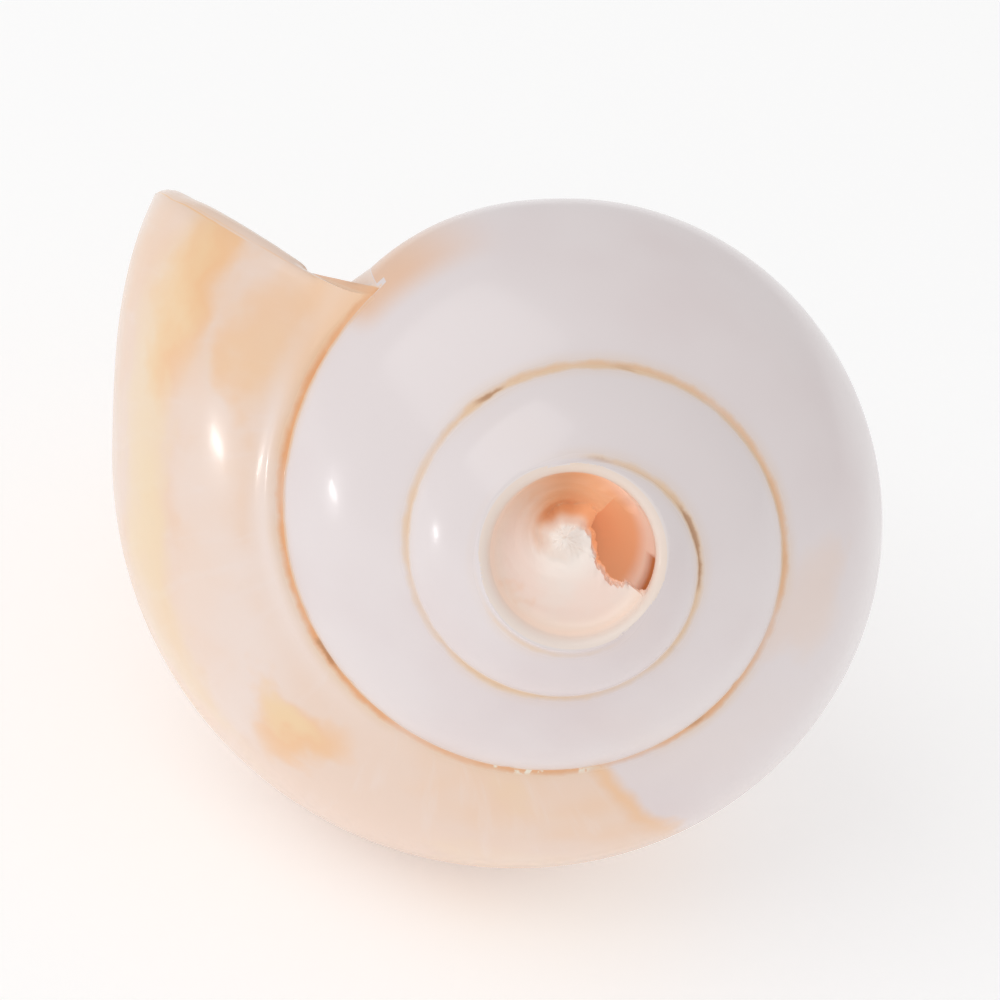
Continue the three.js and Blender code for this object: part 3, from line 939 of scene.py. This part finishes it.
@dataclass(frozen=True)
class PolishedShellFinish:
    """Polished shell: white spire, peach last whorl, orange seams and a raw peach blow hole, with painted
    shade at the notch and in the hole and a painted glow in the hole.
    """

    white: Colour = paint(237, 227, 227)
    shade: Colour = paint(230, 216, 216)
    peach: Colour = paint(243, 217, 200)
    orange: Colour = paint(248, 196, 142)
    yellow: Colour = paint(248, 222, 178)
    pale: Colour = paint(245, 229, 222)
    seam: Colour = paint(240, 208, 174)
    seam_orange: Colour = paint(240, 172, 118)
    dirt: Colour = paint(176, 120, 78)
    crumb: Colour = paint(250, 243, 228)
    hollow: Colour = paint(246, 216, 194)
    hollow_deep: Colour = paint(240, 178, 126)
    knob: Colour = paint(250, 240, 232)
    rim: Colour = paint(246, 234, 225)
    hole_floor: Colour = paint(250, 226, 214)
    hole_wall: Colour = paint(251, 230, 214)
    # Partly the raw inside's own orange, partly painted shade deep in the blow hole; also used for random
    # flecks.
    hole_deep_orange_and_shade: Colour = paint(245, 194, 152)
    # Painted shade for the corner where the lip's top meets the turn before.
    notch_shade: Colour = paint(240, 200, 172)
    peach_age: float = -0.408
    knob_place: tuple[float, float] = (-0.5, 0.6)

    def mottle(self, wiring: Wiring, scale: float, low: float, high: float, share: float = 1.0) -> Socket:
        """Place the shared mottle over the shell's own coordinates."""
        group = wiring.node("ShaderNodeGroup", node_tree=mottle_group())
        place = wiring.node("ShaderNodeTexCoord")
        wiring.feed(group.inputs["Vector"], place.outputs["Object"])
        for name, value in (("Scale", scale), ("Low", low), ("High", high)):
            group.inputs[name].default_value = value
        return wiring.times(group.outputs["Mask"], share)

    def tint(self, tint: Tint) -> tuple[float, ...]:
        """Colour of a patch."""
        return getattr(self, tint.value)

    def patched(self, wiring: Wiring, colour: object, age: object, station: object,
                white_part: bool) -> Socket:
        """Lay the placed patches over a colour.

        Args:
            wiring: The material's nodes.
            colour: Colour under the patches.
            age: Turns before the lip, unevenly shifted.
            station: Station on the section.
            white_part: Whether to lay those of the white part or of the peach part.

        Returns:
            The colour socket.
        """
        for patch in PATCHES:
            if (patch.age < self.peach_age) != white_part:
                continue
            along = wiring.math("DIVIDE", wiring.minus(age, patch.age), patch.age_reach)
            down = wiring.math("DIVIDE", wiring.minus(station, patch.station), patch.station_reach)
            spread = wiring.plus(wiring.times(along, along), wiring.times(down, down))
            share = wiring.times(wiring.step(spread, 1.4, 0.0), patch.share)
            colour = wiring.mix(share, colour, self.tint(patch.tint))
        return colour

    def outside(self, wiring: Wiring) -> Socket:
        """Colour of the polished outside.

        Args:
            wiring: The material's nodes.

        Returns:
            The colour socket.
        """
        age = wiring.layer(Layer.AGE).outputs["Fac"]
        station = wiring.layer(Layer.STATION).outputs["Fac"]
        seam = wiring.layer(Layer.SEAM).outputs["Fac"]
        place = wiring.node("ShaderNodeTexCoord").outputs["Object"]
        streak = wiring.noise(wiring.vector(wiring.times(age, 46.0), station, 0.0), 2.2, 4.0)
        wander = wiring.minus(wiring.noise(place, 140.0, 3.0), 0.5)
        edge_age = wiring.plus(age, wiring.times(wander, 0.03))
        loose_age = wiring.plus(age, wiring.times(wander, 0.09))
        loose_station = wiring.minus(station, wiring.times(wander, 0.5))

        colour = wiring.mix(self.mottle(wiring, 45.0, 0.42, 0.75), self.white, self.shade)
        colour = wiring.mix(self.mottle(wiring, 30.0, 0.55, 0.78, 0.25), colour, self.peach)
        colour = self.patched(wiring, colour, loose_age, loose_station, True)

        grown = wiring.step(edge_age, self.peach_age - 0.006, self.peach_age + 0.012)
        body = wiring.mix(self.mottle(wiring, 52.0, 0.5, 0.7, 0.35), self.peach, self.orange)
        body = wiring.mix(self.mottle(wiring, 75.0, 0.56, 0.72, 0.3), body, self.yellow)
        body = wiring.mix(wiring.times(wiring.step(streak, 0.52, 0.75), 0.3), body, self.pale)
        body = wiring.mix(self.mottle(wiring, 38.0, 0.52, 0.66, 0.5), body, self.pale)
        body = self.patched(wiring, body, loose_age, loose_station, False)
        welt = wiring.times(wiring.step(seam, 4.2, 1.6), wiring.step(age, -0.3, -0.15))
        body = wiring.mix(wiring.times(welt, 0.7), body, self.pale)
        colour = wiring.mix(grown, colour, body)

        line_offset = wiring.math("ABSOLUTE", wiring.minus(edge_age, self.peach_age))
        line = wiring.times(wiring.step(line_offset, 0.012, 0.0), wiring.step(station, 1.6, 0.3))
        colour = wiring.mix(wiring.times(line, 0.75), colour, self.orange)
        return self.seams(wiring, colour, age, station, seam, place)

    def seams(self, wiring: Wiring, colour: object, age: object, station: object, seam: object,
              place: object) -> Socket:
        """Lay the painted shade at the notch and the seam's stain, line, dirt and crumbs over a colour.

        Args:
            wiring: The material's nodes.
            colour: Colour under the seams.
            age: Turns before the lip.
            station: Station on the section.
            seam: Distance from the seam in millimetres.
            place: The shell's own coordinates.

        Returns:
            The colour socket.
        """
        fine = wiring.noise(place, 520.0, 4.0, 0.6)
        patch = wiring.noise(place, 110.0, 2.0)
        ragged = wiring.plus(seam, wiring.times(wiring.minus(fine, 0.5), 0.8))
        late = wiring.step(age, -1.15, -0.1)
        lip_end = wiring.step(age, -0.2, -0.02)
        begun = wiring.step(self.hole_radius(wiring), 8.1, 8.9)

        # Painted shade: a peach-brown patch on the turn before, in the corner under the top of the lip.
        notch = wiring.times(wiring.step(age, -0.985, -0.965), wiring.step(age, -0.88, -0.945))
        notch = wiring.times(notch, wiring.step(station, 0.74, 0.99))
        colour = wiring.mix(notch, colour, self.notch_shade)
        corner = wiring.times(wiring.step(age, -0.08, -0.01), 2.4)
        widening = wiring.plus(wiring.times(lip_end, 0.4), corner)
        reach = wiring.math("DIVIDE", seam, wiring.plus(1.0, widening))
        share = wiring.plus(wiring.times(late, 0.45), 0.3)
        stain = wiring.times(wiring.step(reach, 1.7, 0.0), share)
        stain = wiring.times(stain, wiring.math("MAXIMUM", wiring.step(patch, 0.3, 0.65), lip_end))
        stain = wiring.times(stain, begun)
        colour = wiring.mix(stain, colour, wiring.mix(lip_end, self.seam, self.orange))

        line = wiring.times(wiring.step(ragged, 0.7, 0.1), begun)
        line = wiring.times(line, wiring.plus(0.45, wiring.times(wiring.step(patch, 0.3, 0.6), 0.45)))
        colour = wiring.mix(line, colour, wiring.mix(late, self.seam, self.seam_orange))
        specks = wiring.times(wiring.step(ragged, 0.4, 0.1), wiring.step(patch, 0.6, 0.7))
        specks = wiring.times(specks, begun)
        colour = wiring.mix(wiring.times(specks, 0.65), colour, self.dirt)
        here = wiring.step(wiring.math("ABSOLUTE", wiring.plus(age, 0.374)), 0.05, 0.02)
        crumbs = wiring.times(wiring.step(ragged, 0.75, 0.3), wiring.step(fine, 0.53, 0.6))
        return wiring.mix(wiring.times(crumbs, here), colour, self.crumb)

    def hole_radius(self, wiring: Wiring) -> Socket:
        """Distance from the hole's axis in millimetres."""
        parts = wiring.node("ShaderNodeSeparateXYZ")
        wiring.feed(parts.inputs[0], wiring.layer(Layer.HOLE).outputs["Vector"])
        across, up, _ = parts.outputs
        square = wiring.plus(wiring.times(across, across), wiring.times(up, up))
        return wiring.math("SQRT", square)

    def blow_hole(self, wiring: Wiring, colour: object) -> tuple[Socket, Socket]:
        """Lay the raw inside of the blow hole over a colour, with painted shade deep in the hole and a
        painted glow.

        Args:
            wiring: The material's nodes.
            colour: Colour outside the hole.

        Returns:
            The colour socket and the colour of a painted glow: emission that brightens the hole's inside,
            most deep on its right, standing in for light through the thin walls.
        """
        parts = wiring.node("ShaderNodeSeparateXYZ")
        wiring.feed(parts.inputs[0], wiring.layer(Layer.HOLE).outputs["Vector"])
        across, up, height = parts.outputs
        cut = wiring.layer(Layer.CUT).outputs["Fac"]
        radius = self.hole_radius(wiring)
        depth = wiring.times(height, -1.0)
        side = wiring.minus(across, self.knob_place[0])
        rise = wiring.minus(up, self.knob_place[1])
        from_knob = wiring.math("SQRT", wiring.math(
            "ADD", wiring.times(side, side), wiring.times(rise, rise)))

        # Painted shade: the inside turns a darker orange with depth, partly the raw shell's own orange,
        # partly shade deep in the hole.
        deep = wiring.step(depth, 3.2, 6.2)
        wall = wiring.step(radius, 5.3, 6.7)
        raw = wiring.mix(self.mottle(wiring, 160.0, 0.45, 0.7, 0.6), self.hole_floor, self.rim)
        raw = wiring.mix(wiring.times(wiring.step(from_knob, 4.4, 1.4), 0.85), raw, self.knob)
        raw = wiring.mix(wiring.times(wall, 0.8), raw, self.hole_wall)
        # Painted light: the darker deep tint is held off the right-hand wall, where the key light falls.
        lit = wiring.minus(1.0, wiring.times(wall, wiring.step(across, 1.0, 5.0)))
        raw = wiring.mix(wiring.times(deep, lit), raw, self.hole_deep_orange_and_shade)
        raw = wiring.mix(self.mottle(wiring, 240.0, 0.6, 0.7, 0.3), raw, self.hole_deep_orange_and_shade)
        colour = wiring.mix(wiring.times(cut, 0.6), colour, self.rim)
        # Painted glow: emission over the whole inside of the hole, stronger deep on its right, though no
        # lamp is there.
        inside = wiring.times(cut, wiring.step(depth, 0.6, 1.5))
        far = wiring.times(wiring.step(depth, 2.6, 5.0), wiring.step(across, -1.0, 3.0))
        glow = wiring.times(inside, wiring.plus(0.06, wiring.times(far, 0.24)))
        return wiring.mix(inside, colour, raw), wiring.mix(glow, (0.0, 0.0, 0.0, 1.0), raw)

    def material(self) -> bpy.types.Material:
        """Make the finish.

        Returns:
            The material.
        """
        made = bpy.data.materials.new("polished_shell")
        made.use_nodes = True
        wiring = Wiring(made.node_tree)
        shader = made.node_tree.nodes["Principled BSDF"]
        inside = wiring.layer(Layer.INSIDE).outputs["Fac"]
        age = wiring.layer(Layer.AGE).outputs["Fac"]
        deep = wiring.mix(wiring.step(age, -0.12, -0.55), self.hollow, self.hollow_deep)
        colour = wiring.mix(inside, self.outside(wiring), deep)
        colour, glow = self.blow_hole(wiring, colour)
        wiring.feed(shader.inputs["Base Color"], colour)
        # Painted glow of the blow hole's inside, given as emission.
        wiring.feed(shader.inputs["Emission Color"], glow)
        shader.inputs["Emission Strength"].default_value = 1.0

        seam = wiring.layer(Layer.SEAM).outputs["Fac"]
        rough = wiring.plus(0.2, wiring.times(self.mottle(wiring, 220.0, 0.35, 0.7), 0.07))
        cut = wiring.layer(Layer.CUT).outputs["Fac"]
        seam_wear = wiring.times(wiring.step(seam, 0.8, 0.1), 0.3)
        worn = wiring.math("MAXIMUM", seam_wear, wiring.times(cut, 0.14))
        wiring.feed(shader.inputs["Roughness"], wiring.plus(rough, worn))
        shader.inputs["IOR"].default_value = 1.53
        shader.inputs["Coat Weight"].default_value = 0.25
        shader.inputs["Coat Roughness"].default_value = 0.08
        return made


@dataclass
class ConchShell:
    """The whole shell: outside, hollow, mouth edge and blow hole in one closed piece."""

    node: str = "shell"
    body: str = "root"
    slot: str = "polished_shell"
    rest_pitch: float = 68.11
    rest_roll: float = 8.39
    sharp_angle: float = 55.0
    section: WhorlSection = field(default_factory=WhorlSection)
    hole: BlowHole = field(default_factory=BlowHole)
    origin: Vector = field(default_factory=Vector)

    def rest(self) -> Matrix:
        """Turn from the coil frame to the lying shell."""
        return (Matrix.Rotation(math.radians(self.rest_pitch), 4, "X")
                @ Matrix.Rotation(math.radians(self.rest_roll), 4, "Z"))

    def grow(self) -> MeshSheets:
        """Make the uncut shell in the coil frame."""
        sheets = MeshSheets()
        outer = OuterSheet(self.section, SurfaceWear())
        outer.build(sheets)
        hollow_edge = HollowSheet(self.section).build(sheets)
        MouthEdge(outer).build(sheets, hollow_edge)
        return sheets

    def build(self) -> bpy.types.Object:
        """Grow the shell, cut its tip, lay it down and set it on the solid's place.

        Returns:
            The finished object.
        """
        grown = self.grow()
        cutter, _ = self.hole.cutter()
        piece = grown.to_object("conch_shell")
        tool = cutter.to_object("tip_cutter")
        cut = piece.modifiers.new("blow_hole", "BOOLEAN")
        cut.operation = "DIFFERENCE"
        cut.solver = "MANIFOLD"
        cut.object = tool
        bpy.context.view_layer.update()
        evaluated = piece.evaluated_get(bpy.context.evaluated_depsgraph_get())
        mesh = bpy.data.meshes.new_from_object(evaluated)
        piece.modifiers.clear()
        piece.data = mesh
        bpy.data.objects.remove(tool)
        self.carry_layers(mesh, grown, cutter)
        mesh.transform(self.rest())
        self.settle(mesh)
        mesh.shade_smooth()
        mesh.set_sharp_from_angle(angle=math.radians(self.sharp_angle))
        return piece

    def settle(self, mesh: bpy.types.Mesh) -> None:
        """Move a lying mesh over the solid's box and onto the floor."""
        points = np.empty(len(mesh.vertices) * 3)
        mesh.vertices.foreach_get("co", points)
        points = points.reshape(-1, 3)
        low, high = points.min(axis=0), points.max(axis=0)
        cad_low, cad_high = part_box(self.node)
        middle = (np.array(cad_low) + np.array(cad_high)) / 2.0 - (low + high) / 2.0
        self.origin = Vector((middle[0], middle[1], cad_low[2] - low[2]))
        mesh.transform(Matrix.Translation(self.origin))

    def carry_layers(self, mesh: bpy.types.Mesh, grown: MeshSheets, cutter: MeshSheets) -> None:
        """Give the cut mesh the values of the nearest points it was made from.

        Args:
            mesh: The cut mesh, in the coil frame and in metres.
            grown: The uncut shell.
            cutter: The solid taken away.
        """
        sources = np.concatenate([grown.all_points(), cutter.all_points()]) * MILLIMETRE
        tree = KDTree(len(sources))
        for number, point in enumerate(sources):
            tree.insert(point, number)
        tree.balance()
        nearest = np.array([tree.find(vertex.co)[1] for vertex in mesh.vertices])
        points = np.empty(len(mesh.vertices) * 3)
        mesh.vertices.foreach_get("co", points)
        matrix = np.array(self.hole.axes().inverted())
        local = points.reshape(-1, 3) / MILLIMETRE @ matrix[:3, :3].T + matrix[:3, 3]
        in_hole = (np.hypot(local[:, 0], local[:, 1]) < self.hole.radius + 0.1) & (local[:, 2] < -0.2)
        in_hole &= local[:, 2] > -self.hole.clearance
        hole_layer = mesh.attributes.new(Layer.HOLE.value, "FLOAT_VECTOR", "POINT")
        hole_layer.data.foreach_set("vector", local.astype(np.float32).ravel())
        for layer in (Layer.AGE, Layer.STATION, Layer.SEAM, Layer.INSIDE, Layer.CUT):
            values = np.concatenate([grown.layer(layer), cutter.layer(layer)])[nearest]
            if layer is Layer.SEAM:
                values = np.where(in_hole | (nearest >= grown.count), 9.0, values)
            if layer is Layer.CUT:
                values = np.where(in_hole, 1.0, values)
            made = mesh.attributes.new(layer.value, "FLOAT", "POINT")
            made.data.foreach_set("value", values.astype(np.float32))

    def dress(self, piece: bpy.types.Object) -> None:
        """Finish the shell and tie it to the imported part."""
        piece.data.materials.clear()
        piece.data.materials.append(PolishedShellFinish().material())
        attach(piece, self.body)
        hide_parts(self.node)

    def to_world(self, coil_point: Vector) -> Vector:
        """Place of a coil point, given in millimetres, on the lying shell."""
        return self.rest() @ (coil_point * MILLIMETRE) + self.origin


@dataclass(frozen=True)
class PaleFloorFinish:
    """Smooth white studio floor."""

    colour: tuple[float, ...] = (0.92, 0.92, 0.92, 1.0)
    glow: float = 0.24

    def material(self) -> bpy.types.Material:
        """Make the finish."""
        made = bpy.data.materials.new("pale_floor")
        made.use_nodes = True
        wiring = Wiring(made.node_tree)
        shader = made.node_tree.nodes["Principled BSDF"]
        group = wiring.node("ShaderNodeGroup", node_tree=mottle_group())
        place = wiring.node("ShaderNodeTexCoord")
        wiring.feed(group.inputs["Vector"], place.outputs["Object"])
        group.inputs["Scale"].default_value = 8.0
        rough = wiring.plus(0.75, wiring.times(group.outputs["Mask"], 0.1))
        wiring.feed(shader.inputs["Roughness"], rough)
        shader.inputs["Base Color"].default_value = self.colour
        shader.inputs["Emission Color"].default_value = (1.0, 1.0, 1.0, 1.0)
        shader.inputs["Emission Strength"].default_value = self.glow
        return made


@dataclass
class StudioFloor:
    """A plain floor under the shell."""

    half_width: float = 3.0

    def build(self) -> bpy.types.Object:
        """Make the floor and give it its pale finish."""
        mesh = bpy.data.meshes.new("studio_floor")
        reach = self.half_width
        corners = [(-reach, -reach, 0.0), (reach, -reach, 0.0), (reach, reach, 0.0), (-reach, reach, 0.0)]
        mesh.from_pydata(corners, [], [(0, 1, 2, 3)])
        floor = bpy.data.objects.new("studio_floor", mesh)
        bpy.context.scene.collection.objects.link(floor)
        mesh.materials.append(PaleFloorFinish().material())
        return floor


@dataclass
class PhotoCamera:
    """Camera that looks at the cut tip as the photograph does. Directions are in the coil frame."""

    shell: ConchShell
    right: tuple[float, float, float] = (0.997, 0.020, 0.070)
    up: tuple[float, float, float] = (0.0, 0.961, -0.276)
    towards: tuple[float, float, float] = (-0.072, 0.275, 0.959)
    distance: float = 583.33
    aim_right: float = -6.786
    aim_up: float = 7.75
    lens: float = 252.0

    def direction(self, right: float, up: float, towards: float) -> Vector:
        """Direction in the lying frame from shares of the picture's axes."""
        mixed = Vector(self.right) * right + Vector(self.up) * up + Vector(self.towards) * towards
        return (self.shell.rest() @ mixed).normalized()

    def build(self) -> bpy.types.Object:
        """Make the camera and use it."""
        data = bpy.data.cameras.new("photo_camera")
        data.lens = self.lens
        data.sensor_width = 36.0
        data.clip_start = 0.01
        camera = bpy.data.objects.new("photo_camera", data)
        bpy.context.scene.collection.objects.link(camera)
        eye = self.shell.to_world(Vector(self.towards) * self.distance)
        target = self.shell.to_world(Vector(self.right) * self.aim_right + Vector(self.up) * self.aim_up)
        back = (eye - target).normalized()
        side = self.direction(0.0, 1.0, 0.0).cross(back).normalized()
        turn = Matrix((side, back.cross(side), back)).transposed().to_4x4()
        camera.matrix_world = Matrix.Translation(eye) @ turn
        bpy.context.scene.camera = camera
        return camera


@dataclass
class StudioLight:
    """Soft studio light: a window-like box at the left, a broad one above and a pale room."""

    camera: PhotoCamera
    key_power: float = 0.24
    key_size: float = 0.06
    key_distance: float = 0.5
    top_power: float = 2.4
    top_size: float = 0.9
    room: float = 0.66

    def box(self, name: str, away: Vector, power: float, size: float) -> None:
        """Hang one square light box that faces the shell."""
        data = bpy.data.lights.new(name, "AREA")
        data.energy = power
        data.size = size
        lamp = bpy.data.objects.new(name, data)
        lamp.location = away + Vector((0.0, 0.0, 0.03))
        lamp.rotation_euler = away.to_track_quat("Z", "Y").to_euler()
        bpy.context.scene.collection.objects.link(lamp)

    def build(self) -> None:
        """Light the room."""
        world = bpy.data.worlds.new("pale_room")
        world.use_nodes = True
        backdrop = world.node_tree.nodes["Background"]
        backdrop.inputs["Color"].default_value = (1.0, 1.0, 1.0, 1.0)
        backdrop.inputs["Strength"].default_value = self.room
        bpy.context.scene.world = world
        left = self.camera.direction(-0.95, -0.17, 0.38)
        self.box("window_box", left * self.key_distance, self.key_power, self.key_size)
        self.box("top_box", Vector((-0.55, -0.35, 0.9)), self.top_power, self.top_size)
        bpy.context.scene.view_settings.view_transform = "Standard"


def main() -> None:
    """Build the shell, floor, camera and lights in order."""
    logging.basicConfig(level=logging.INFO)
    shell = ConchShell()
    piece = shell.build()
    shell.dress(piece)
    LOG.info("%s: %d faces", piece.name, len(piece.data.polygons))
    StudioFloor().build()
    camera = PhotoCamera(shell)
    LOG.info("camera at %s", tuple(round(value, 4) for value in camera.build().location))
    StudioLight(camera).build()


if __name__ == "__main__":
    main()
